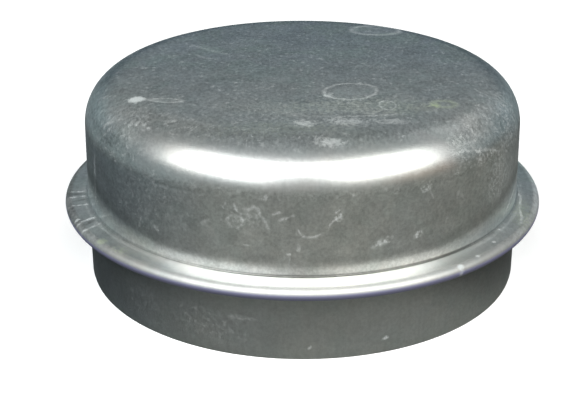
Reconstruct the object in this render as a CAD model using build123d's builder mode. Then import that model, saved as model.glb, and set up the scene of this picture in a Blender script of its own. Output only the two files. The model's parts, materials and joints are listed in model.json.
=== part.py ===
from build123d import *
import os

# Hub grease cap: one cup drawn from zinc-plated sheet steel, upset into a folded flange above its press-fit skirt.
# Millimetres. The cap stands on its open edge: the origin is the centre of that edge, and +Z runs up its axis.

# Drawn cup
cup_diameter = 69.1  # outside of the skirt and of the dome's foot, a press fit in a 2.72 in hub bore
sheet_thickness = 1.0
overall_height = 31.8
shoulder_radius = 7.1  # outside corner between the wall and the closed end
wall_draft = 1.2  # degrees that the dome's wall leans in

# Folded flange
skirt_length = 11.0  # open edge to the flange's seat
flange_overhang = 3.6  # how far the rim stands out past the skirt
flange_slope = 5.0  # degrees that the flange's upper layer falls towards the rim
crease_radius = 0.15  # outside corner above the flange, pressed tight
bend_radius = 0.3  # outside corner below the flange

# Lead-in at the open edge
lead_in_height = 0.4
lead_in_depth = 0.1

# Worked out from the sizes above
cup_radius = cup_diameter / 2
rim_centre = Vector(cup_radius + flange_overhang - sheet_thickness, skirt_length + sheet_thickness)

with BuildPart() as grease_cap:
    with BuildSketch(Plane.XZ):
        # The sheet's outside line, from the open edge up to the axis, with sharp corners first
        with BuildLine() as sheet:
            skirt = Line((cup_radius, 0), (cup_radius, skirt_length))
            seat = Line(skirt @ 1, (rim_centre.X, skirt_length))

            # At the rim the sheet is folded tight, so its outside turns at one thickness in radius
            fold = CenterArc(rim_centre, sheet_thickness, start_angle=-90, arc_size=180 - flange_slope)
            drafted = PolarLine(
                skirt @ 1,
                overall_height - skirt_length,
                90 + wall_draft,
                length_mode=LengthMode.VERTICAL,
                mode=Mode.PRIVATE,
            )
            flange_top = IntersectingLine(fold @ 1, fold % 1, drafted)
            wall = Line(flange_top @ 1, drafted @ 1)
            closed_end = Line(wall @ 1, (0, overall_height))

            # Bends
            fillet(sheet.vertices().sort_by_distance(seat @ 0)[0], bend_radius)
            fillet(sheet.vertices().sort_by_distance(flange_top @ 1)[0], crease_radius)
            fillet(sheet.vertices().sort_by_distance(closed_end @ 0)[0], shoulder_radius)

            # One wall of even thickness, laid off to the inside of that line
            offset(amount=sheet_thickness, side=Side.LEFT)
        make_face()
    revolve(axis=Axis.Z)

    # The open edge leads into the bore on its outside
    open_face = grease_cap.faces().sort_by(Axis.Z)[0]
    outer_edge = open_face.edges().sort_by(SortBy.RADIUS)[-1]
    chamfer(outer_edge, length=lead_in_depth, length2=lead_in_height, reference=open_face)

grease_cap.part.label = "grease_cap"

os.makedirs("parts", exist_ok=True)
export_step(grease_cap.part, "parts/grease_cap.step")
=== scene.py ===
import json
import math
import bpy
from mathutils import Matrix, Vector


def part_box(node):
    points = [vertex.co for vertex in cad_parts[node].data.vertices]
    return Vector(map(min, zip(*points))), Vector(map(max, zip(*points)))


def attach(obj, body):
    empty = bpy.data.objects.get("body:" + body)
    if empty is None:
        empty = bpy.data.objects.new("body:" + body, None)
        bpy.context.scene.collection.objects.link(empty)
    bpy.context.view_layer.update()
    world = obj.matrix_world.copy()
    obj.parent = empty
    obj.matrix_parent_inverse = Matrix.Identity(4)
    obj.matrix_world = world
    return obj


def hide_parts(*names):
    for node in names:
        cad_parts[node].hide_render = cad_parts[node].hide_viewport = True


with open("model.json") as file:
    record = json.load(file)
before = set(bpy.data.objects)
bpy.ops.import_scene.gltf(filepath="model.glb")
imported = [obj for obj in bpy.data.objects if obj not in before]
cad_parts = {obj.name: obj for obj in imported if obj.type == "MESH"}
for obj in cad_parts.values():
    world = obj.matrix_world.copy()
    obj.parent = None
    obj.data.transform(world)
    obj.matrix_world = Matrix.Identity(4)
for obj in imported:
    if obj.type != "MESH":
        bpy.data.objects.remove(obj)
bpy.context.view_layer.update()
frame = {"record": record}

from types import SimpleNamespace
from typing import NamedTuple

import bpy
from bpy.props import FloatProperty, FloatVectorProperty, IntProperty, PointerProperty
from mathutils import Color, Quaternion, Vector

bl_info = {
    "name": "Hub grease cap",
    "version": (1, 0, 0),
    "blender": (4, 5, 0),
    "location": "3D View > Sidebar > Grease cap",
    "description": "Dresses a pressed hub grease cap in worn zinc plate and sets it on a studio floor",
    "category": "Object",
}

NODE = "grease_cap"
NODE_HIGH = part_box(NODE)[1]
MOUNTS = {mount["name"]: mount for mount in frame["record"]["mounts"]}
MM = 0.001


# Node helpers

FLOAT, VECTOR = "NodeSocketFloat", "NodeSocketVector"


def titled(name):
    """A socket's title, such as Cup Radius for cup_radius."""
    return name.replace("_", " ").title()


def put(tree, slot, value):
    """Links a socket to an input, or sets the input to a plain value."""
    if isinstance(value, Num):
        value = value.socket
    if isinstance(value, Color):
        value = (*value, 1.0)
    if isinstance(value, bpy.types.NodeSocket):
        tree.links.new(value, slot)
    else:
        slot.default_value = value


def lay(tree, kind, inputs=(), **settings):
    """Adds a node, makes its settings, fills its inputs by name or number, and returns it."""
    node = tree.nodes.new(kind)
    for name, value in settings.items():
        setattr(node, name, value)
    for key, value in dict(inputs).items():
        put(tree, node.inputs[key], value)
    return node


def laid(tree, kind, inputs=(), **settings):
    """Adds a node and returns its first output."""
    return lay(tree, kind, inputs, **settings).outputs[0]


class Num:
    """A number in a node tree. Arithmetic on it lays down Math nodes."""

    def __init__(self, tree, socket):
        self.tree = tree
        self.socket = socket

    def math(self, operation, *values):
        return Num(self.tree, laid(self.tree, "ShaderNodeMath", enumerate(values), operation=operation))

    def __add__(self, other):
        return self.math("ADD", self, other)

    def __radd__(self, other):
        return self.math("ADD", other, self)

    def __sub__(self, other):
        return self.math("SUBTRACT", self, other)

    def __rsub__(self, other):
        return self.math("SUBTRACT", other, self)

    def __mul__(self, other):
        return self.math("MULTIPLY", self, other)

    def __rmul__(self, other):
        return self.math("MULTIPLY", other, self)

    def __truediv__(self, other):
        return self.math("DIVIDE", self, other)

    def __neg__(self):
        return self.math("MULTIPLY", self, -1.0)

    def __abs__(self):
        return self.math("ABSOLUTE", self)

    def root(self):
        return self.math("SQRT", self)

    def sin(self):
        return self.math("SINE", self)

    def cos(self):
        return self.math("COSINE", self)

    def tan(self):
        return self.math("TANGENT", self)

    def floor(self):
        return self.math("FLOOR", self)

    def at_most(self, other):
        return self.math("MINIMUM", self, other)

    def at_least(self, other):
        return self.math("MAXIMUM", self, other)

    def above(self, limit):
        return self.math("GREATER_THAN", self, limit)

    def below(self, limit):
        return self.math("LESS_THAN", self, limit)

    def ramp(self, low, high, start=0.0, end=1.0):
        """Rises smoothly from start to end while the number goes from low to high."""
        node = lay(
            self.tree,
            "ShaderNodeMapRange",
            {"Value": self, "From Min": low, "From Max": high, "To Min": start, "To Max": end},
            interpolation_type="SMOOTHSTEP",
            clamp=False,
        )
        return Num(self.tree, node.outputs["Result"])


def outputs_of(tree, node):
    """A node's outputs by name, as numbers."""
    return {out.name: Num(tree, out) for out in node.outputs if out.name}


def vector(tree, x=0.0, y=0.0, z=0.0):
    """Puts three numbers together into one vector socket."""
    return laid(tree, "ShaderNodeCombineXYZ", {0: x, 1: y, 2: z})


def parts_of(tree, socket):
    """Takes a vector socket apart into its three numbers."""
    node = lay(tree, "ShaderNodeSeparateXYZ", {0: socket})
    return [Num(tree, out) for out in node.outputs]


def noise(tree, place, scale, detail=2.0, roughness=0.5, distortion=0.0):
    """Noise from 0 to 1 over a place."""
    inputs = {
        "Vector": place,
        "Scale": scale,
        "Detail": detail,
        "Roughness": roughness,
        "Distortion": distortion,
    }
    return Num(tree, laid(tree, "ShaderNodeTexNoise", inputs))


def blended(tree, share, first, second, blend="MIX"):
    """Mixes two colours by a share from 0 to 1."""
    inputs = {0: share, 6: first, 7: second}
    return lay(tree, "ShaderNodeMix", inputs, data_type="RGBA", blend_type=blend).outputs[2]


# Sizes and colours that a user would change


class ShellSizes(bpy.types.PropertyGroup):
    """Sizes of the pressed shell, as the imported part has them."""

    cup_radius: FloatProperty(
        name="Cup radius", default=MOUNTS["skirt"]["dims"]["r_mm"] * MM, unit="LENGTH",
        description="Outside of the skirt and of the dome's foot",
    )
    overall_height: FloatProperty(
        name="Overall height", default=NODE_HIGH[2], unit="LENGTH",
        description="Open edge to the closed end",
    )
    flange_radius: FloatProperty(
        name="Flange radius", default=NODE_HIGH[0], unit="LENGTH",
        description="Axis to the folded rim",
    )
    skirt_length: FloatProperty(
        name="Skirt length", default=MOUNTS["flange_seat"]["pos_m"][2], unit="LENGTH",
        description="Open edge to the flange's seat",
    )
    sheet_thickness: FloatProperty(
        name="Sheet thickness", default=1.0 * MM, unit="LENGTH",
        description="Thickness of the steel, even all over",
    )
    shoulder_radius: FloatProperty(
        name="Shoulder radius", default=7.1 * MM, unit="LENGTH",
        description="Outside corner between the wall and the closed end",
    )
    crease_radius: FloatProperty(
        name="Crease radius", default=0.15 * MM, unit="LENGTH",
        description="Outside corner above the flange, pressed tight",
    )
    bend_radius: FloatProperty(
        name="Bend radius", default=0.3 * MM, unit="LENGTH",
        description="Outside corner below the flange",
    )
    wall_draft: FloatProperty(
        name="Wall draft", default=math.radians(1.2), subtype="ANGLE",
        description="How far the dome's wall leans in",
    )
    flange_slope: FloatProperty(
        name="Flange slope", default=math.radians(5.0), subtype="ANGLE",
        description="How far the flange's upper layer falls towards the rim",
    )
    lead_in_height: FloatProperty(
        name="Lead-in height", default=0.4 * MM, unit="LENGTH",
        description="Height of the lead-in at the open edge",
    )
    lead_in_depth: FloatProperty(
        name="Lead-in depth", default=0.1 * MM, unit="LENGTH",
        description="How far the lead-in narrows the open edge",
    )
    waviness: FloatProperty(
        name="Waviness", default=0.04 * MM, unit="LENGTH",
        description="How deep the sheet's slight dents are",
    )
    seed: IntProperty(
        name="Seed", default=4,
        description="Picks another set of slight dents",
    )


class PlateColours(bpy.types.PropertyGroup):
    """Colours of the worn zinc plate, and how strongly its marks show."""

    cool: FloatVectorProperty(
        name="Cool plate", default=(0.49, 0.553, 0.61), subtype="COLOR",
        description="Bluish clouds in the plate",
    )
    warm: FloatVectorProperty(
        name="Warm plate", default=(0.67, 0.67, 0.645), subtype="COLOR",
        description="Greenish grey clouds in the plate",
    )
    teal: FloatVectorProperty(
        name="Teal plate", default=(0.50, 0.595, 0.57), subtype="COLOR",
        description="Teal tarnish in the plate",
    )
    film: FloatVectorProperty(
        name="White film", default=(0.62, 0.66, 0.66), subtype="COLOR",
        description="Dried film and white corrosion",
    )
    chromate: FloatVectorProperty(
        name="Yellow stain", default=(0.55, 0.64, 0.42), subtype="COLOR",
        description="Yellowish stain left by the plating bath",
    )
    rim: FloatVectorProperty(
        name="Rim tint", default=(0.45, 0.45, 0.68), subtype="COLOR",
        description="Violet tinge on the lower half of the folded rim",
    )
    # Painted shade: this dark colour darkens the crease, the skirt under the flange, bands on the wall and
    # the rim's lower half
    grime: FloatVectorProperty(
        name="Grime", default=(0.10, 0.105, 0.09), subtype="COLOR",
        description="Dirt in the crease and under the flange",
    )
    edge: FloatVectorProperty(
        name="Sheared edge", default=(0.42, 0.41, 0.39), subtype="COLOR",
        description="Bare steel of the sheared open edge",
    )
    marks: FloatProperty(
        name="Marks", default=1.0, min=0.0, max=1.0, subtype="FACTOR",
        description="How strongly dried stains and scratches show",
    )


class StageLook(bpy.types.PropertyGroup):
    """Camera, floor and lights."""

    camera_aim: FloatVectorProperty(
        name="Camera aim", default=(-2.444 * MM, 0.0, 8.499 * MM), subtype="TRANSLATION",
        description="Point that the camera looks at",
    )
    camera_distance: FloatProperty(
        name="Camera distance", default=206.77 * MM, unit="LENGTH",
        description="Camera to its aim",
    )
    camera_elevation: FloatProperty(
        name="Camera elevation", default=math.radians(24.26), subtype="ANGLE",
        description="How far the camera looks down",
    )
    camera_lens: FloatProperty(
        name="Camera lens", default=78.78, unit="CAMERA",
        description="Focal length in millimetres on a 36 mm wide sensor",
    )
    camera_roll: FloatProperty(
        name="Camera roll", default=math.radians(0.19), subtype="ANGLE",
        description="How far the camera leans to its left",
    )
    floor_colour: FloatVectorProperty(
        name="Floor colour", default=(0.86, 0.86, 0.86), subtype="COLOR",
        description="Colour of the pale floor",
    )
    floor_mirrored: FloatVectorProperty(
        name="Floor in front", default=(0.132, 0.137, 0.128), subtype="COLOR",
        description="Colour of the floor in front as the cap's metal mirrors it",
    )
    # Painted shadow: the mirrored floor behind the cap is darkened to this colour
    floor_behind: FloatVectorProperty(
        name="Floor behind", default=(0.050, 0.056, 0.057), subtype="COLOR",
        description="Colour of the floor behind as the cap's metal mirrors it",
    )
    floor_far: FloatVectorProperty(
        name="Floor far behind", default=(0.22, 0.265, 0.28), subtype="COLOR",
        description="Colour of the floor further behind as the cap's metal mirrors it",
    )
    left_panel: FloatProperty(
        name="Left panel", default=3.5,
        description="Radiance of the soft panel at the camera's left",
    )
    right_panel: FloatProperty(
        name="Right panel", default=3.64,
        description="Radiance of the soft panel at the camera's right",
    )
    upper_panel: FloatProperty(
        name="Upper panel", default=5.0,
        description="Radiance of the soft panel over the camera",
    )
    rear_panel: FloatProperty(
        name="Rear panel", default=0.36,
        description="Radiance of the dim panel behind the cap at the right",
    )
    room_front: FloatVectorProperty(
        name="Room in front", default=(0.32, 0.32, 0.31), subtype="COLOR",
        description="Light of the room near the horizon, behind the camera",
    )
    room_behind: FloatVectorProperty(
        name="Room behind", default=(0.04, 0.07, 0.09), subtype="COLOR",
        description="Light of the room near the horizon, behind the cap",
    )
    room_sides: FloatVectorProperty(
        name="Room at the sides", default=(0.212, 0.268, 0.286), subtype="COLOR",
        description="Light from the sides of the room",
    )
    room_right: FloatVectorProperty(
        name="Room at the right", default=(0.36, 0.26, 0.19), subtype="COLOR",
        description="Warm light near the horizon, in front of the cap at the right",
    )
    room_above: FloatVectorProperty(
        name="Room overhead", default=(0.368, 0.405, 0.412), subtype="COLOR",
        description="Light of the room overhead",
    )


# The pressed shell

SEGMENTS = 384
MESH_STEP = 1.2 * MM
CRISP_ANGLE = math.radians(35.0)


class Corner(NamedTuple):
    """Corner of the section, with the radius of its bend and the number of points along that."""

    radius: object
    height: object
    bend: object = 0.0
    points: int = 0


def section_corners(size):
    """Corners of the sheet's section: down its inside from the closed end, and back up its outside."""
    cup = size["Cup Radius"]
    top = size["Overall Height"]
    rim = size["Flange Radius"]
    seat = size["Skirt Length"]
    sheet = size["Sheet Thickness"]
    shoulder = size["Shoulder Radius"]
    tight = size["Crease Radius"]
    bend = size["Bend Radius"]
    slope = size["Flange Slope"]
    draft = size["Wall Draft"].tan()

    def crease(radius, height, wall_foot, bend_radius, points):
        """Corner where a flange layer through one point of the section meets the leaning wall."""
        run = (radius - wall_foot + (height - seat) * draft) / (slope.cos() - slope.sin() * draft)
        return Corner(radius - run * slope.cos(), height + run * slope.sin(), bend_radius, points)

    inner_foot = cup - sheet / size["Wall Draft"].cos()
    inner_top = top - sheet
    fold_top = seat + sheet * (1.0 + ((math.pi / 2 - slope) * 0.5).tan())
    inside = [
        Corner(0.0, inner_top),
        Corner(inner_foot - (inner_top - seat) * draft, inner_top, shoulder - sheet, 14),
        crease(rim - sheet, seat + sheet, inner_foot, tight + sheet, 6),
        Corner(rim - sheet, seat + sheet),
        Corner(cup - sheet, seat + sheet, bend + sheet, 6),
        Corner(cup - sheet, 0.0),
    ]
    outside = [
        Corner(cup - size["Lead In Depth"], 0.0),
        Corner(cup, size["Lead In Height"]),
        Corner(cup, seat, bend, 5),
        Corner(rim, seat, sheet, 7),
        Corner(rim, fold_top, sheet, 7),
        crease(rim, fold_top, cup, tight, 5),
        Corner(cup - (top - seat) * draft, top, shoulder, 16),
        Corner(0.0, top),
    ]
    return inside, outside


def by_corner(tree, kind, values):
    """Gives each corner of the section its own value."""
    switch = lay(tree, "GeometryNodeIndexSwitch", data_type=kind)
    while len(switch.index_switch_items) < len(values):
        switch.index_switch_items.new()
    put(tree, switch.inputs["Index"], laid(tree, "GeometryNodeInputIndex"))
    for slot, value in zip(switch.inputs[1:], values):
        put(tree, slot, value)
    return switch.outputs[0]


def section_line(tree, size):
    """Draws the section as a line with rounded corners, and tells its inside, 0, from its outside, 1."""
    inside, outside = section_corners(size)
    corners = inside + outside
    line = laid(tree, "GeometryNodeMeshLine", {"Count": len(corners)})
    drawn = laid(tree, "GeometryNodeMeshToCurve", {"Mesh": line})
    at = by_corner(tree, "VECTOR", [vector(tree, x=each.radius, z=each.height) for each in corners])
    placed = laid(tree, "GeometryNodeSetPosition", {"Geometry": drawn, "Position": at})
    sides = lay(tree, "GeometryNodeCaptureAttribute", {"Geometry": placed}, domain="POINT")
    sides.capture_items.new("FLOAT", "Outside")
    put(tree, sides.inputs[1], by_corner(tree, "FLOAT", [0.0] * len(inside) + [1.0] * len(outside)))
    bends = {
        "Curve": sides.outputs[0],
        "Count": by_corner(tree, "INT", [each.points for each in corners]),
        "Radius": by_corner(tree, "FLOAT", [each.bend for each in corners]),
        "Limit Radius": False,
    }
    rounded = laid(tree, "GeometryNodeFilletCurve", bends, mode="POLY")

    # Long straight runs get points along them, which the slight dents need
    position = laid(tree, "GeometryNodeInputPosition")
    index = Num(tree, laid(tree, "GeometryNodeInputIndex"))
    next_point = {"Value": position, "Index": index + 1.0}
    following = laid(tree, "GeometryNodeFieldAtIndex", next_point, data_type="FLOAT_VECTOR")
    run = lay(tree, "ShaderNodeVectorMath", {0: position, 1: following}, operation="DISTANCE")
    cuts = (Num(tree, run.outputs["Value"]) / size["Mesh Step"]).floor()
    section = laid(tree, "GeometryNodeSubdivideCurve", {"Curve": rounded, "Cuts": cuts})
    return section, sides.outputs[1]


def turned_shell(tree, size, section, side):
    """Turns the section about the axis into a closed shell, and tells its inside from its outside."""
    position = laid(tree, "GeometryNodeInputPosition")
    index = Num(tree, laid(tree, "GeometryNodeInputIndex"))
    points = lay(tree, "GeometryNodeAttributeDomainSize", {0: section}, component="CURVE")
    count = Num(tree, points.outputs["Point Count"])

    # One row of a grid for each step round, and one column for each point of the section
    grid = laid(tree, "GeometryNodeMeshGrid", {"Vertices X": size["Segments"] + 1.0, "Vertices Y": count})
    row = ((index + 0.5) / count).floor()
    column = index - row * count
    angle = row / size["Segments"] * math.tau

    def off_section(value, kind):
        """Reads a value off the section's points."""
        inputs = {"Geometry": section, "Value": value, "Index": column}
        return laid(tree, "GeometryNodeSampleIndex", inputs, data_type=kind)

    radius, _, height = parts_of(tree, off_section(position, "FLOAT_VECTOR"))
    marked = lay(tree, "GeometryNodeCaptureAttribute", {"Geometry": grid}, domain="POINT")
    marked.capture_items.new("FLOAT", "Outside")
    put(tree, marked.inputs[1], off_section(side, "FLOAT"))
    at = vector(tree, radius * angle.cos(), radius * angle.sin(), height)
    turned = laid(tree, "GeometryNodeSetPosition", {"Geometry": marked.outputs[0], "Position": at})
    closed = laid(tree, "GeometryNodeMergeByDistance", {"Geometry": turned, "Distance": 1e-6})
    return closed, Num(tree, marked.outputs[1])


def dented(tree, size, shell, outside):
    """Presses slight dents into the shell. They go inwards and take both faces of the sheet along."""
    position = laid(tree, "GeometryNodeInputPosition")
    ripple = {"Vector": position, "W": size["Seed"], "Scale": 55.0, "Detail": 1.0}
    depth = Num(tree, laid(tree, "ShaderNodeTexNoise", ripple, noise_dimensions="4D"))
    normal = laid(tree, "GeometryNodeInputNormal")
    push = {0: normal, "Scale": depth * size["Waviness"] * (1.0 - 2.0 * outside)}
    inwards = laid(tree, "ShaderNodeVectorMath", push, operation="SCALE")
    above_edge = parts_of(tree, position)[2].above(size["Lead In Height"])
    moved = {"Geometry": shell, "Selection": above_edge, "Offset": inwards}
    return laid(tree, "GeometryNodeSetPosition", moved)


def coated(tree, size, shell, outside):
    """Shades the shell smooth with crisp corners, and gives its faces their materials."""
    smooth = {"Geometry": shell, "Shade Smooth": True}
    shell = laid(tree, "GeometryNodeSetShadeSmooth", smooth, domain="FACE")
    corner = Num(tree, lay(tree, "GeometryNodeInputMeshEdgeAngle").outputs["Unsigned Angle"])
    crisp = {"Geometry": shell, "Selection": corner.above(CRISP_ANGLE), "Shade Smooth": False}
    shell = laid(tree, "GeometryNodeSetShadeSmooth", crisp, domain="EDGE")

    # A face of the sheared edge has points of both sides, so it lies between 0 and 1
    coats = {"Outside": True, "Sheared Edge": outside.below(0.99), "Inside": outside.below(0.01)}
    for name, faces in coats.items():
        coat = {"Geometry": shell, "Selection": faces, "Material": size[name]}
        shell = laid(tree, "GeometryNodeSetMaterial", coat)
    return shell


def shell_tree():
    """Geometry nodes that draw the sheet's section from its sizes and turn it about the axis."""
    tree = bpy.data.node_groups.new("Pressed shell", "GeometryNodeTree")
    tree.is_modifier = True
    tree.interface.new_socket("Geometry", in_out="OUTPUT", socket_type="NodeSocketGeometry")

    inputs = dict.fromkeys(map(titled, ShellSizes.__annotations__), FLOAT)
    inputs["Mesh Step"] = FLOAT
    inputs.update(dict.fromkeys(("Segments", "Seed"), "NodeSocketInt"))
    inputs.update(dict.fromkeys(("Outside", "Inside", "Sheared Edge"), "NodeSocketMaterial"))
    for name, kind in inputs.items():
        socket = tree.interface.new_socket(name, in_out="INPUT", socket_type=kind)
        if kind == FLOAT:
            socket.subtype = "ANGLE" if name in ("Wall Draft", "Flange Slope") else "DISTANCE"
    size = outputs_of(tree, tree.nodes.new("NodeGroupInput"))
    section, side = section_line(tree, size)
    shell, outside = turned_shell(tree, size, section, side)
    shell = dented(tree, size, shell, outside)
    lay(tree, "NodeGroupOutput", {"Geometry": coated(tree, size, shell, outside)})
    return tree


def grown(name, tree, values):
    """Runs a geometry node tree with named inputs and returns its result as a plain object."""
    piece = bpy.data.objects.new(name, bpy.data.meshes.new(name))
    bpy.context.scene.collection.objects.link(piece)
    modifier = piece.modifiers.new(tree.name, "NODES")
    modifier.node_group = tree
    for socket in tree.interface.items_tree:
        if socket.in_out == "INPUT":
            modifier[socket.identifier] = values[socket.name]
    graph = bpy.context.evaluated_depsgraph_get()
    shape = piece.evaluated_get(graph)
    mesh = bpy.data.meshes.new_from_object(shape, preserve_all_data_layers=True, depsgraph=graph)
    piece.modifiers.clear()
    piece.data = mesh
    mesh.name = name
    if not mesh.polygons:
        raise RuntimeError(f"{name} came out empty")
    return piece


# Finishes


def effect(name, inputs, outputs):
    """Starts a shader node group and returns its tree, its inputs by name and its output node."""
    tree = bpy.data.node_groups.new(name, "ShaderNodeTree")
    for title, kind in inputs.items():
        tree.interface.new_socket(title, in_out="INPUT", socket_type=kind)
    for title, kind in outputs.items():
        tree.interface.new_socket(title, in_out="OUTPUT", socket_type=kind)
    given = outputs_of(tree, tree.nodes.new("NodeGroupInput"))
    return tree, given, tree.nodes.new("NodeGroupOutput")


def sheet_places():
    """Where a point is on the cap in millimetres: across the closed end, and round the wall."""
    outputs = {"Across": VECTOR, "Round": VECTOR, "Radius": FLOAT, "Height": FLOAT}
    tree, _, result = effect("Sheet places", {}, outputs)
    in_mm = {0: lay(tree, "ShaderNodeTexCoord").outputs["Object"], "Scale": 1.0 / MM}
    across = laid(tree, "ShaderNodeVectorMath", in_mm, operation="SCALE")
    x, y, z = parts_of(tree, across)
    radius = (x * x + y * y).root()
    turn = x.math("ARCTAN2", x, -y) * MOUNTS["skirt"]["dims"]["r_mm"]
    put(tree, result.inputs["Across"], across)
    put(tree, result.inputs["Round"], vector(tree, turn, z, radius))
    put(tree, result.inputs["Radius"], radius)
    put(tree, result.inputs["Height"], z)
    return tree


def plate_grain():
    """Clouds, grain, flecks and scuffs of zinc plate, and rough patterns that break up its marks."""
    names = ("Cloud", "Tint", "Grain", "Flecks", "Scuffs", "Patches", "Crumble", "Wobble")
    tree, given, result = effect("Plate grain", {"Place": VECTOR}, dict.fromkeys(names, FLOAT))
    place = given["Place"]
    stretch = {0: place, 1: (1.0, 0.6, 1.0)}
    rolled = laid(tree, "ShaderNodeVectorMath", stretch, operation="MULTIPLY")
    cells = lay(tree, "ShaderNodeTexVoronoi", {"Vector": rolled, "Scale": 0.9})
    lot = parts_of(tree, cells.outputs["Color"])[0]
    crumble = noise(tree, place, 1.1, 4.0, 0.7)
    web = abs(noise(tree, place, 0.32, 3.0, 0.55, 0.8) - 0.5)
    values = {
        "Cloud": noise(tree, place, 0.07, 4.0, 0.6, 0.6).ramp(0.33, 0.67),
        "Tint": noise(tree, place, 0.14, 4.0, 0.62, 1.0).ramp(0.42, 0.66),
        "Grain": noise(tree, rolled, 2.1, 3.0, 0.72).ramp(0.3, 0.7),
        "Flecks": Num(tree, cells.outputs["Distance"]).ramp(0.02, 0.36, 1.0, 0.0) * lot.ramp(0.3, 1.0),
        "Scuffs": web.ramp(0.0, 0.022, 1.0, 0.0) * crumble.ramp(0.45, 0.62),
        "Patches": noise(tree, place, 1.9, 4.0, 0.72),
        "Crumble": crumble,
        "Wobble": noise(tree, place, 0.3, 2.0, 0.5),
    }
    for name in names:
        put(tree, result.inputs[name], values[name])
    return tree


def draw_streaks():
    """Faint streaks up the wall and the skirt, left by the drawing die."""
    tree, given, result = effect("Draw streaks", {"Round": VECTOR}, {"Streaks": FLOAT})
    arc, height, radius = parts_of(tree, given["Round"])
    lines = noise(tree, vector(tree, arc * 1.4, height * 0.05, 0.0), 1.0, 3.0, 0.6)
    put(tree, result.inputs["Streaks"], 0.5 + (lines - 0.5) * radius.ramp(31.0, 33.5))
    return tree


def mark_effect(name, sizes, patterns):
    """Starts the node group of a mark that has a place, a centre, a turn and sizes."""
    names = ("X", "Y", "Centre X", "Centre Y", "Turn", *sizes, *patterns)
    return effect(name, dict.fromkeys(names, FLOAT), {"Amount": FLOAT})


def in_mark(given):
    """How far a place lies along a mark and beside it, from its centre."""
    x = given["X"] - given["Centre X"]
    y = given["Y"] - given["Centre Y"]
    cos, sin = given["Turn"].cos(), given["Turn"].sin()
    return x * cos + y * sin, y * cos - x * sin


def reach_in_mark(given):
    """How far out in an oval mark a place lies: 0 at its centre, 1 at its edge."""
    along, beside = in_mark(given)
    along, beside = along / given["Half Length"], beside / given["Half Width"]
    return (along * along + beside * beside).root()


def stain_ring():
    """Outline that a drop leaves as it dries, with a thin film inside it."""
    sizes = ("Half Length", "Half Width", "Line")
    tree, given, result = mark_effect("Stain ring", sizes, ("Crumble", "Wobble"))
    reach = reach_in_mark(given) + 0.3 * (given["Wobble"] - 0.5)
    gap = abs(reach - 1.0) * given["Half Width"]
    outline = gap.ramp(0.0, given["Line"], 1.0, 0.0) * given["Crumble"].ramp(0.3, 0.55, 0.4, 1.0)
    put(tree, result.inputs["Amount"], outline.at_least(reach.ramp(0.75, 1.0, 0.15, 0.0)))
    return tree


def smear():
    """Patch of dried film with a crumbling edge. More fill makes it more solid."""
    tree, given, result = mark_effect("Smear", ("Half Length", "Half Width", "Fill"), ("Patches",))
    reach = reach_in_mark(given)
    body = (given["Patches"] + given["Fill"] * (1.0 - reach)).ramp(0.45, 0.7)
    put(tree, result.inputs["Amount"], body * reach.ramp(0.4, 1.3, 1.0, 0.0))
    return tree


def hairline():
    """Thin scratch or scuff line, straight or bent, that fades at its ends."""
    tree, given, result = mark_effect("Hairline", ("Length", "Bend", "Line"), ("Crumble", "Wobble"))
    along, beside = in_mark(given)
    gap = abs(beside - given["Bend"] * along * along + 1.2 * (given["Wobble"] - 0.5))
    share = abs(along) / given["Length"]
    line = gap.ramp(0.0, given["Line"], 1.0, 0.0) * share.ramp(0.25, 0.5, 1.0, 0.0)
    put(tree, result.inputs["Amount"], line * given["Crumble"].ramp(0.38, 0.6, 0.15, 1.0))
    return tree


def plate_groups():
    """Builds the effects that the plate's materials share."""
    return {
        "places": sheet_places(),
        "grain": plate_grain(),
        "streaks": draw_streaks(),
        Ring: stain_ring(),
        Smear: smear(),
        Hairline: hairline(),
    }


def group(tree, effect_tree, given=()):
    """Places a node group, fills its inputs from the given values, and returns its outputs by name."""
    node = lay(tree, "ShaderNodeGroup", node_tree=effect_tree)
    for slot in node.inputs:
        put(tree, slot, given[slot.name])
    return outputs_of(tree, node)


def plate_values(tree, groups):
    """Places on the sheet, and the plate's grain and streaks there."""
    places = group(tree, groups["places"])
    grain = group(tree, groups["grain"], {"Place": places["Across"]})
    streaks = group(tree, groups["streaks"], {"Round": places["Round"]})
    return places, grain, streaks["Streaks"]


# Marks on the plate. Places and sizes are in millimetres and turns in degrees.
# On the closed end and the flange a place is (x, y); on the wall and the skirt it is (round, up).


class Ring(NamedTuple):
    """Dried drop: line is how wide its outline is."""

    centre: tuple
    half_length: float
    half_width: float
    turn: float
    line: float
    strength: float


class Smear(NamedTuple):
    """Patch of dried film: fill is how solid it is."""

    centre: tuple
    half_length: float
    half_width: float
    turn: float
    fill: float
    strength: float


class Hairline(NamedTuple):
    """Scratch: bend curves it, and line is how wide it is."""

    centre: tuple
    length: float
    turn: float
    line: float
    strength: float
    bend: float = 0.0


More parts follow.
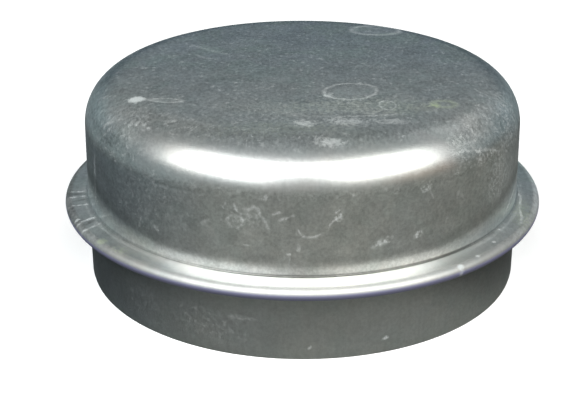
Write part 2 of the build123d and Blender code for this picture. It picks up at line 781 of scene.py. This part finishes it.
CLOSED_END_FILM_AND_LIGHT = (
    # Dried drops
    Ring((7.1, -10.2), 4.0, 3.5, 22, 0.55, 0.40),
    Ring((13.0, 21.9), 4.0, 2.8, -6, 0.75, 0.36),
    Ring((12.2, -16.3), 1.2, 1.9, 0, 0.45, 0.34),
    Smear((3.8, -11.9), 1.5, 1.1, 60, 0.25, 0.35),
    # Water stains along the front
    Smear((0.1, -23.6), 2.2, 1.7, -10, 0.30, 0.48),
    Smear((5.8, -23.0), 3.8, 1.9, -4, 0.22, 0.48),
    Smear((12.2, -23.0), 3.4, 1.5, 0, 0.20, 0.42),
    Smear((3.4, -29.6), 2.8, 1.2, 0, 0.25, 0.42),
    # Broad lighter film over the front of the closed end: partly real film, partly painted light
    Smear((-2.0, -18.0), 18.0, 8.0, 0, 0.06, 0.16),
    Smear((11.0, -16.0), 10.0, 5.0, 0, 0.00, 0.12),
    Hairline((8.4, -20.9), 12.0, 7, 0.45, 0.50, 0.01),
    # Painted glint: a white spot standing in for a small dent's highlight, with a painted haze beside it
    # and a looped scratch for a tail
    Smear((-24.5, -13.3), 1.5, 1.3, 0, 0.80, 1.0),
    Ring((-20.2, -13.9), 2.3, 0.8, -8, 0.36, 0.42),
    Smear((-26.6, -12.8), 3.0, 1.2, 12, 0.05, 0.25),
    # Scuffs at the back left
    Hairline((-15.3, 11.2), 12.0, -40, 0.70, 0.26),
    Hairline((-21.2, 7.3), 2.8, 43, 0.60, 0.26),
    Hairline((-15.8, 6.9), 5.8, -36, 0.65, 0.26, 0.07),
    Hairline((-24.5, 1.4), 6.0, 0, 0.50, 0.26, 0.01),
    Smear((-17.5, 13.0), 5.5, 2.6, -35, 0.00, 0.12),
    # Rubbed shoulder
    Smear((-25.8, -17.5), 6.2, 1.9, -45, 0.04, 0.24),
    Smear((30.3, -12.5), 2.4, 6.0, 0, 0.03, 0.40),
    Smear((25.0, -20.0), 6.4, 2.6, 49, 0.00, 0.14),
    Smear((22.5, -22.9), 4.6, 1.2, 46, 0.04, 0.24),
    Hairline((-22.5, -21.6), 3.0, -53, 0.35, 0.45),
    Hairline((-27.9, -16.3), 4.4, -37, 0.36, 0.34),
    Hairline((-28.5, -17.0), 2.2, -25, 0.35, 0.32),
    Hairline((-24.3, -19.8), 2.4, -41, 0.40, 0.50),
)
CLOSED_END_STAIN = (
    Ring((20.4, -15.9), 1.5, 1.4, 5, 1.00, 0.46),
    Smear((19.0, -16.4), 1.4, 1.2, 0, 0.25, 0.50),
    Smear((7.0, -16.5), 13.0, 4.5, 5, 0.15, 0.22),
    Smear((-3.0, -25.5), 13.0, 3.5, 0, 0.15, 0.20),
    Smear((15.5, -18.5), 8.0, 3.0, 30, 0.15, 0.14),
)
WALL_FILM_AND_LIGHT = (
    # Ticks and spots
    Smear((4.6, 22.3), 0.8, 1.1, -25, 0.12, 0.60),
    Hairline((3.8, 21.3), 2.6, 50, 0.34, 0.35, -0.15),
    Smear((11.0, 17.6), 2.0, 0.8, 18, 0.12, 0.60),
    Smear((16.5, 17.8), 0.9, 0.6, 30, 0.16, 0.65),
    Smear((17.7, 24.6), 1.3, 0.7, 20, 0.08, 0.50),
    Hairline((18.5, 23.6), 2.6, -65, 0.30, 0.20, 0.05),
    Hairline((-0.7, 19.9), 2.4, -50, 0.38, 0.55, -0.1),
    Hairline((1.3, 19.4), 3.0, 14, 0.32, 0.36, 0.05),
    Hairline((-3.9, 22.6), 1.6, 21, 0.32, 0.36),
    Hairline((-3.1, 21.8), 1.3, 20, 0.32, 0.35),
    Hairline((-2.0, 21.9), 1.8, 22, 0.32, 0.44),
    Smear((-2.3, 16.6), 0.5, 0.3, 0, 0.30, 0.42),
    Smear((-0.9, 17.7), 0.4, 0.8, 0, 0.20, 0.32),
    Smear((-8.2, 17.6), 0.7, 0.3, 5, 0.30, 0.22),
    Smear((-5.4, 24.9), 0.4, 0.6, -20, 0.25, 0.34),
    # Faint web of dried drips
    Ring((-9.8, 21.0), 1.0, 0.9, 0, 0.36, 0.17),
    Hairline((-9.2, 22.1), 4.4, -56, 0.44, 0.36, 0.04),
    Hairline((-7.4, 23.2), 2.2, 25, 0.50, 0.24, -0.1),
    Hairline((-5.8, 21.6), 5.2, -62, 0.46, 0.28, 0.03),
    Hairline((-14.4, 20.0), 3.0, 38, 0.40, 0.22),
    Hairline((-11.3, 23.1), 1.4, 60, 0.40, 0.34),
    Smear((-8.6, 21.6), 4.2, 2.4, 0, 0.02, 0.26),
    # Scuffs and faint film
    Hairline((-26.2, 17.4), 2.4, 80, 0.36, 0.45, 0.04),
    Hairline((-22.9, 17.6), 2.6, -40, 0.38, 0.28, 0.08),
    Hairline((-2.2, 15.5), 3.0, 90, 0.18, 0.30),
    Hairline((40.6, 15.6), 8.0, 20, 0.40, 0.80),
    Hairline((23.5, 22.3), 5.0, 82, 0.30, 0.12, 0.02),
    # Painted light: a pale patch that lightens the right end of the wall
    Smear((34.5, 21.5), 5.5, 5.0, 0, 0.06, 0.34),
    # Faint film on the left of the wall
    Smear((-24.0, 21.0), 9.0, 5.0, 10, -0.02, 0.16),
    # Pale streak at the left end
    Hairline((-39.7, 19.0), 11.0, 88, 0.90, 0.32),
    # Scratch and rubbed patch under the right shoulder
    Hairline((26.5, 27.7), 8.5, -9, 0.32, 0.45, -0.01),
    Hairline((32.0, 26.3), 6.0, -20, 0.32, 0.30),
    Smear((28.0, 26.5), 6.0, 1.6, -14, 0.00, 0.28),
    # Painted highlight along the lower edge of the draw line
    Hairline((-18.7, 24.0), 11.0, 2, 0.35, 0.12, 0.003),
    # Skirt
    Smear((11.9, 2.4), 0.7, 0.35, 10, 0.30, 0.60),
    Smear((0.6, 1.9), 0.6, 0.3, 30, 0.25, 0.50),
    Smear((-13.5, 4.0), 7.0, 3.0, -8, -0.02, 0.22),
    Smear((-8.7, 6.2), 2.6, 0.45, 0, 0.15, 0.20),
    Smear((-26.0, 4.5), 6.0, 3.0, -20, -0.03, 0.14),
)
FLANGE_FILM = (
    # Specks
    Smear((22.0, -30.7), 0.7, 0.5, 35, 0.35, 0.80),
    Smear((24.8, -27.7), 0.4, 0.4, 0, 0.50, 0.50),
    Smear((27.8, -23.3), 0.4, 0.4, 0, 0.50, 0.50),
    Smear((29.1, -19.2), 0.4, 0.4, 0, 0.50, 0.50),
    # Pry marks in a faint film
    Smear((-34.5, -11.0), 2.4, 9.0, 20, 0.00, 0.06),
    Hairline((-35.4, -4.5), 4.2, 0, 0.50, 0.95),
    Hairline((-35.5, -6.5), 4.2, 4, 0.40, 0.70),
    Hairline((-34.8, -9.8), 4.0, 8, 0.40, 0.70),
    Hairline((-32.8, -15.4), 4.4, 38, 0.50, 0.85),
    Hairline((-31.8, -17.6), 4.4, 38, 0.44, 0.80),
    Smear((-34.4, -14.9), 0.7, 0.5, 35, 0.40, 0.60),
    # Long scratch at the right
    Hairline((34.0, -9.2), 20.0, 83, 0.34, 0.55, 0.004),
)
FLANGE_STAIN = (
    Smear((-29.6, -22.4), 1.2, 0.9, -45, 0.25, 0.5),
    Smear((-26.4, -25.6), 2.6, 1.1, -45, 0.10, 0.4),
    Smear((33.5, -13.0), 2.2, 7.0, -10, 0.20, 0.30),
)
WALL_SHADE = (
    # Painted shade along the draw line under the shoulder
    Hairline((-18.7, 24.5), 11.5, 2, 0.40, 0.32, 0.003),
    Hairline((25.0, 25.0), 11.0, -3, 0.40, 0.20, 0.002),
    # Painted shade: a darker patch on the left shoulder
    Smear((-35.0, 28.2), 5.0, 2.4, 10, 0.12, 0.30),
)
FLANGE_SHADE = (
    # Shade between the pry marks
    Hairline((-35.5, -5.6), 2.8, -4, 0.60, 0.55),
    Hairline((-35.1, -8.0), 2.6, 2, 0.60, 0.45),
    Hairline((-32.4, -16.4), 3.2, 36, 0.60, 0.55),
)


def marks(tree, groups, rows, place, grain):
    """Lays a group for each mark and adds up how strongly they show."""
    amounts = []
    for row in rows:
        given = {**grain, **{titled(name): value for name, value in row._asdict().items()}}
        given["X"], given["Y"] = place
        given["Centre X"], given["Centre Y"] = row.centre
        given["Turn"] = math.radians(row.turn)
        amounts.append(row.strength * group(tree, groups[type(row)], given)["Amount"])
    return sum(amounts[1:], amounts[0])


def fresh_material(name):
    """Starts a material and returns it with its tree and its shader."""
    material = bpy.data.materials.new(name)
    material.use_nodes = True
    tree = material.node_tree
    return material, tree, tree.nodes["Principled BSDF"]


def shaded(tree, colour, factor):
    """Multiplies a colour by a number."""
    return blended(tree, 1.0, colour, vector(tree, factor, factor, factor), "MULTIPLY")


def fine_relief(tree, height, strength):
    """Normal of a surface with a fine relief."""
    inputs = {"Strength": strength, "Distance": 0.05 * MM, "Height": height}
    return laid(tree, "ShaderNodeBump", inputs)


# Where one part of the sheet gives way to the next, in millimetres from the axis or above the open edge
SHOULDER_HEIGHT = (24.0, 26.0)
SKIRT_HEIGHT = (10.0, 11.0)
FLANGE_RADIUS = (34.6, 34.9)
FLANGE_HEIGHT = (10.8, 11.2)
RIM_RADIUS = (36.8, 37.4)
CREASE_RADIUS, CREASE_HEIGHT = 34.5, 13.2


def sheet_parts(x, y, radius, height):
    """How far a place belongs to each part of the sheet, from 0 to 1, and its distance from the crease."""
    part = SimpleNamespace()
    part.top = height.ramp(*SHOULDER_HEIGHT)
    part.skirt = height.ramp(*SKIRT_HEIGHT, 1.0, 0.0)
    part.flange = radius.ramp(*FLANGE_RADIUS) * height.ramp(*FLANGE_HEIGHT)
    part.rim = radius.ramp(*RIM_RADIUS)
    part.wall = (1.0 - part.skirt) * (1.0 - part.flange)
    part.front = y.ramp(-30.0, 32.0, 1.0, 0.0)
    part.side = abs(x).ramp(16.0, 31.0)
    left = x.ramp(-32.0, -8.0, 1.0, 0.0)
    part.left_wall = left * part.wall * (1.0 - part.top)
    part.left_skirt = left * part.skirt
    shoulder = height.ramp(25.0, 26.5) * height.ramp(30.2, 31.4, 1.0, 0.0)
    part.smooth = shoulder.at_least(part.flange) * y.ramp(-27.0, -20.0, 1.0, 0.0)

    # Painted light at the foot of the wall, as if it caught light from the flange, reaching further up at
    # the sides
    part.foot_height = height - 2.0 * part.side - 1.6 * abs(x).ramp(27.0, 34.0)
    part.foot = part.wall * part.foot_height.ramp(12.6, 15.0, 1.0, 0.0)
    out = radius - CREASE_RADIUS
    up = height - CREASE_HEIGHT
    part.from_crease = (out * out + up * up).root()
    return part


def plate_shade(x, part, grain):
    """How light the plate is: grain and mottle, with painted light at the wall's foot, the flange and the
    skirt's left, and painted shade at the wall's left and the rim's ends.
    """
    contrast = 0.24 + 0.18 * part.top - 0.1 * part.skirt
    mottle = 0.5 * (grain["Wobble"] - 0.5) + 0.35 * (grain["Crumble"] - 0.5)
    shade = contrast * (grain["Grain"] - 0.5) + mottle * (1.0 - 0.6 * part.skirt)
    # Painted shade on the left of the wall and painted light on the left of the skirt
    shade = 1.0 + shade * (1.0 - 0.8 * part.smooth) - 0.04 * part.left_wall + 0.14 * part.left_skirt
    # Painted light at the foot of the wall, stronger at the sides
    shade = shade + (0.03 + 0.2 * part.side) * part.foot
    # Painted light on the flange towards its ends
    painted_flange_light = abs(x).ramp(10.0, 18.0) * abs(x).ramp(22.0, 30.0, 1.0, 0.3)
    shade = shade + 0.13 * part.flange * (1.0 - part.rim) * painted_flange_light
    # Painted shade on the rim towards both ends, more at the far left
    painted_rim_shade = 0.3 * abs(x).ramp(14.0, 26.0) * x.ramp(34.0, 37.0, 1.0, 0.0)
    painted_rim_shade = painted_rim_shade + 0.2 * x.ramp(-36.0, -31.0, 1.0, 0.0)
    return shade - part.rim * painted_rim_shade


def worn_plate(groups, colours):
    """Zinc plate as handling and weather left it: stained and scratched, with painted shade in the crease
    and under the flange, and painted light in places.
    """
    material, tree, shader = fresh_material("Worn zinc plate")
    places, grain, streaks = plate_values(tree, groups)
    height = places["Height"]
    x, y, _ = parts_of(tree, places["Across"])
    arc, up, _ = parts_of(tree, places["Round"])
    part = sheet_parts(x, y, places["Radius"], height)

    def flat_marks(rows):
        """Marks on the closed end or the flange."""
        return marks(tree, groups, rows, (x, y), grain)

    def round_marks(rows):
        """Marks on the wall or the skirt."""
        return marks(tree, groups, rows, (arc, up), grain)

    # Light film: partly real dried film and scuffs, partly painted light, such as a glint, a band beside
    # the crease and lighter patches
    film = flat_marks(CLOSED_END_FILM_AND_LIGHT) * part.top
    film = film + round_marks(WALL_FILM_AND_LIGHT) * (1.0 - part.flange)
    film = film + flat_marks(FLANGE_FILM) * part.flange
    rubbed = (0.3 + 0.7 * part.top - 0.15 * part.skirt) * (1.0 - 0.7 * part.smooth)
    film = film + rubbed * (0.24 * grain["Flecks"] + 0.32 * grain["Scuffs"])
    # Painted highlight: a light band on the flange beside the crease
    painted_crease_glint = part.from_crease.ramp(0.45, 0.7) * part.from_crease.ramp(0.7, 1.2, 1.0, 0.0)
    film = film + 0.15 * part.flange * painted_crease_glint
    film = (film * colours.marks).at_most(1.0)

    stain = flat_marks(CLOSED_END_STAIN) * part.top + flat_marks(FLANGE_STAIN) * part.flange
    stain = (stain * colours.marks).at_most(1.0)

    # Painted shade along the draw lines, on a patch of the left shoulder and between the pry marks
    grime = round_marks(WALL_SHADE) + flat_marks(FLANGE_SHADE) * part.flange
    # Painted shade in the crease, strongest towards the middle of the front
    middle = x.ramp(-22.0, -2.0, 0.4, 1.0) * x.ramp(20.0, 30.0, 1.0, 0.45)
    grime = grime + part.from_crease.ramp(0.1, 0.42, 0.8, 0.0) * middle
    # Painted shadow on the skirt under the flange
    grime = grime + 0.28 * part.skirt * height.ramp(6.0, 10.5)
    # Painted shade in a band above the lighter foot of the wall
    painted_shade_over_foot = part.foot_height.ramp(13.9, 14.9) * part.foot_height.ramp(15.2, 17.0, 1.0, 0.0)
    grime = grime + 0.24 * part.wall * painted_shade_over_foot
    # Painted shade on the lower half of the rim
    grime = (grime + 0.4 * part.rim * height.ramp(11.4, 12.1, 1.0, 0.0)).at_most(1.0)

    # Warmer towards the front, cooler and more teal towards the back and the left: partly the plate's own
    # tint, partly painted reflection colour
    warmth = 0.75 * part.front + 0.25 * grain["Cloud"]
    warmth = warmth * (1.0 - 0.7 * part.left_wall * (1.0 - part.foot) - 0.5 * part.left_skirt)
    warmth = warmth - 0.12 * part.skirt
    plate = blended(tree, warmth, colours.cool, colours.warm)
    plate = blended(tree, grain["Tint"] * (0.8 - 0.6 * part.front), plate, colours.teal)
    plate = shaded(tree, plate, plate_shade(x, part, grain) * streaks.ramp(0.3, 0.7, 0.98, 1.02))
    rim_tinge = part.rim * height.ramp(11.9, 12.4, 1.0, 0.0)
    plate = blended(tree, rim_tinge, plate, colours.rim)
    plate = blended(tree, stain, plate, colours.chromate)
    plate = blended(tree, film, plate, colours.film)
    plate = blended(tree, grime, plate, colours.grime)
    put(tree, shader.inputs["Base Color"], plate)
    put(tree, shader.inputs["Metallic"], 1.0 - 0.6 * film - 0.35 * stain)
    roughness = grain["Grain"].ramp(0.0, 1.0, 0.31, 0.33) + 0.28 * part.rim + 0.2 * film
    put(tree, shader.inputs["Roughness"], roughness)
    put(tree, shader.inputs["Normal"], fine_relief(tree, grain["Grain"], 0.01))
    return material


def clean_plate(groups, colours):
    """Zinc plate inside the cap, which grease kept from the weather."""
    material, tree, shader = fresh_material("Clean zinc plate")
    shader.inputs["Metallic"].default_value = 1.0
    _, grain, streaks = plate_values(tree, groups)
    plate = blended(tree, grain["Cloud"], colours.cool, colours.warm)
    shade = grain["Grain"].ramp(0.0, 1.0, 0.93, 1.07) * streaks.ramp(0.3, 0.7, 0.85, 1.12)
    put(tree, shader.inputs["Base Color"], shaded(tree, plate, shade))
    put(tree, shader.inputs["Roughness"], grain["Patches"].ramp(0.3, 0.7, 0.3, 0.42))
    put(tree, shader.inputs["Normal"], fine_relief(tree, grain["Grain"], 0.1))
    return material


def bare_edge(groups, colours):
    """Sheared steel at the open edge."""
    material, tree, shader = fresh_material("Sheared steel")
    shader.inputs["Metallic"].default_value = 1.0
    places = group(tree, groups["places"])
    tear = noise(tree, places["Round"], 2.0, 3.0, 0.6)
    steel = shaded(tree, colours.edge, tear.ramp(0.3, 0.7, 0.8, 1.15))
    put(tree, shader.inputs["Base Color"], steel)
    put(tree, shader.inputs["Roughness"], tear.ramp(0.3, 0.7, 0.35, 0.5))
    return material


class GREASECAP_OT_shell(bpy.types.Operator):
    """Makes the pressed shell from its sizes and gives it its worn plate"""

    bl_idname = "greasecap.shell"
    bl_label = "Pressed shell"

    def execute(self, context):
        sizes = context.scene.greasecap_sizes
        colours = context.scene.greasecap_colours
        groups = plate_groups()
        values = {titled(name): getattr(sizes, name) for name in ShellSizes.__annotations__}
        values["Segments"] = SEGMENTS
        values["Mesh Step"] = MESH_STEP
        values["Outside"] = worn_plate(groups, colours)
        values["Inside"] = clean_plate(groups, colours)
        values["Sheared Edge"] = bare_edge(groups, colours)
        piece = grown("pressed_shell", shell_tree(), values)
        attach(piece, "root")
        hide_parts(NODE)
        return {"FINISHED"}


# The stage

PANEL_DISTANCE = 0.8
FLOOR_REACH = 4.0
FLOOR_DROP = 0.02 * MM
FLOOR_GLOW = 0.3
SENSOR_WIDTH = 36.0


def floor_material(look):
    """Pale floor, which the metal mirrors as a darker grey one with a painted shadow of the cap: darker
    near the cap, beside it and behind it.
    """
    material, tree, shader = fresh_material("Pale floor")
    shader.inputs["Roughness"].default_value = 1.0
    shader.inputs["Specular IOR Level"].default_value = 0.0
    x, y, _ = parts_of(tree, lay(tree, "ShaderNodeTexCoord").outputs["Object"])
    radius = (x * x + y * y).root()
    # Painted shadow of the cap on the floor that the metal mirrors: darker behind it, beside it and close
    # round it, lighter further out
    away = (y - 0.7 * x).ramp(-0.055, 0.04)
    near = blended(tree, away, look.floor_mirrored, look.floor_behind)
    beside = 1.0 - 0.76 * x.ramp(0.027, 0.043) - 0.3 * x.ramp(-0.045, -0.02, 1.0, 0.0)
    close = radius.ramp(0.036, 0.051, 1.25, 0.8) * (1.0 - 0.5 * away) * beside
    dim_right = x.ramp(0.03, 0.055) * radius.ramp(0.066, 0.09, 1.0, 0.0) * y.ramp(-0.01, 0.02, 1.0, 0.4)
    beyond = radius.ramp(0.07, 0.088, 1.62, 1.16) - 0.3 * dim_right
    shade = close + (beyond - close) * radius.ramp(0.053, 0.066)
    near = shaded(tree, near, shade)
    mirrored = blended(tree, away * radius.ramp(0.08, 0.16), near, look.floor_far)
    seen = lay(tree, "ShaderNodeLightPath").outputs["Is Camera Ray"]
    put(tree, shader.inputs["Base Color"], blended(tree, seen, mirrored, look.floor_colour))
    put(tree, shader.inputs["Emission Color"], vector(tree, seen, seen, seen))
    shader.inputs["Emission Strength"].default_value = FLOOR_GLOW
    return material


def panel_light(name, middle, reach, lean, radiance, colour):
    """Adds a soft panel. Its azimuth and elevation, its width and height and its lean are in degrees."""
    turn, rise = map(math.radians, middle)
    wide, tall = map(math.radians, reach)
    away = Vector((math.sin(turn) * math.cos(rise), -math.cos(turn) * math.cos(rise), math.sin(rise)))
    light = bpy.data.lights.new(name, "AREA")
    light.shape = "RECTANGLE"
    light.size = 2.0 * PANEL_DISTANCE * math.tan(wide / 2.0)
    light.size_y = 2.0 * PANEL_DISTANCE * math.tan(tall / 2.0)
    light.energy = radiance * light.size * light.size_y * math.pi
    light.color = colour
    lamp = bpy.data.objects.new(name, light)
    lamp.location = away * PANEL_DISTANCE
    upright = (-away).to_track_quat("-Z", "Y")
    lamp.rotation_euler = (upright @ Quaternion((0.0, 0.0, 1.0), math.radians(lean))).to_euler()
    lamp.visible_camera = False
    bpy.context.scene.collection.objects.link(lamp)


def room_light(look):
    """Dim room: dark behind the cap, cool at the sides, warm at the right in front, and grey overhead."""
    world = bpy.data.worlds.new("Room")
    world.use_nodes = True
    tree = world.node_tree
    x, y, z = parts_of(tree, lay(tree, "ShaderNodeTexCoord").outputs["Generated"])
    horizon = blended(tree, y.ramp(-0.7, 0.9), look.room_front, look.room_behind)
    sides = shaded(tree, look.room_sides, y.ramp(0.3, 0.8, 0.92, 1.2))
    horizon = blended(tree, abs(x).ramp(0.35, 0.6), horizon, sides)
    right = x.ramp(0.5, 0.8) * y.ramp(-0.3, -0.05, 1.0, 0.0)
    horizon = blended(tree, right, horizon, look.room_right)
    overhead = z.ramp(0.37, 0.52, 1.0, 0.62) + z.ramp(0.75, 0.95, 0.0, 0.2)
    above = shaded(tree, look.room_above, overhead)
    colour = blended(tree, z.ramp(0.2, 0.4), horizon, above)
    put(tree, tree.nodes["Background"].inputs["Color"], colour)
    bpy.context.scene.world = world


class GREASECAP_OT_stage(bpy.types.Operator):
    """Sets up the floor, the lights and the camera"""

    bl_idname = "greasecap.stage"
    bl_label = "Studio stage"

    def execute(self, context):
        look = context.scene.greasecap_stage
        mesh = bpy.data.meshes.new("floor")
        corners = [(-1, -1), (1, -1), (1, 1), (-1, 1)]
        places = [(x * FLOOR_REACH, y * FLOOR_REACH, -FLOOR_DROP) for x, y in corners]
        mesh.from_pydata(places, [], [(0, 1, 2, 3)])
        floor = bpy.data.objects.new("floor", mesh)
        context.scene.collection.objects.link(floor)
        mesh.materials.append(floor_material(look))

        white, warm = (1.0, 0.99, 0.98), (1.0, 0.98, 0.95)
        panel_light("left panel", (-42.0, 36.5), (51.0, 38.5), -10.0, look.left_panel, white)
        panel_light("right panel", (42.5, 37.0), (51.0, 36.0), 4.0, look.right_panel, warm)
        panel_light("upper panel", (0.0, 46.5), (60.0, 14.0), 0.0, look.upper_panel, white)
        panel_light("rear panel", (126.0, 46.0), (22.0, 20.0), 0.0, look.rear_panel, white)
        room_light(look)

        camera = bpy.data.objects.new("camera", bpy.data.cameras.new("camera"))
        aim = Vector(look.camera_aim)
        back = Vector((0.0, -math.cos(look.camera_elevation), math.sin(look.camera_elevation)))
        camera.location = aim + back * look.camera_distance
        level = (-back).to_track_quat("-Z", "Y")
        camera.rotation_euler = (level @ Quaternion((0.0, 0.0, 1.0), -look.camera_roll)).to_euler()
        camera.data.lens = look.camera_lens
        camera.data.sensor_width = SENSOR_WIDTH
        camera.data.clip_start = 0.01
        context.scene.collection.objects.link(camera)
        context.scene.camera = camera
        context.scene.view_settings.view_transform = "Standard"
        return {"FINISHED"}


class GREASECAP_PT_panel(bpy.types.Panel):
    """Lists the cap's makers and their values"""

    bl_label = "Grease cap"
    bl_idname = "GREASECAP_PT_panel"
    bl_space_type = "VIEW_3D"
    bl_region_type = "UI"
    bl_category = "Grease cap"

    def draw(self, context):
        scene = context.scene
        for maker, values in (
            ("greasecap.shell", scene.greasecap_sizes),
            ("greasecap.shell", scene.greasecap_colours),
            ("greasecap.stage", scene.greasecap_stage),
        ):
            box = self.layout.box()
            box.operator(maker)
            for name in values.__annotations__:
                box.prop(values, name)


CLASSES = (
    ShellSizes,
    PlateColours,
    StageLook,
    GREASECAP_OT_shell,
    GREASECAP_OT_stage,
    GREASECAP_PT_panel,
)


def register():
    for entry in CLASSES:
        bpy.utils.register_class(entry)
    bpy.types.Scene.greasecap_sizes = PointerProperty(type=ShellSizes)
    bpy.types.Scene.greasecap_colours = PointerProperty(type=PlateColours)
    bpy.types.Scene.greasecap_stage = PointerProperty(type=StageLook)


def unregister():
    del bpy.types.Scene.greasecap_stage
    del bpy.types.Scene.greasecap_colours
    del bpy.types.Scene.greasecap_sizes
    for entry in reversed(CLASSES):
        bpy.utils.unregister_class(entry)


def main():
    register()
    bpy.ops.greasecap.shell()
    bpy.ops.greasecap.stage()


if __name__ == "__main__":
    main()
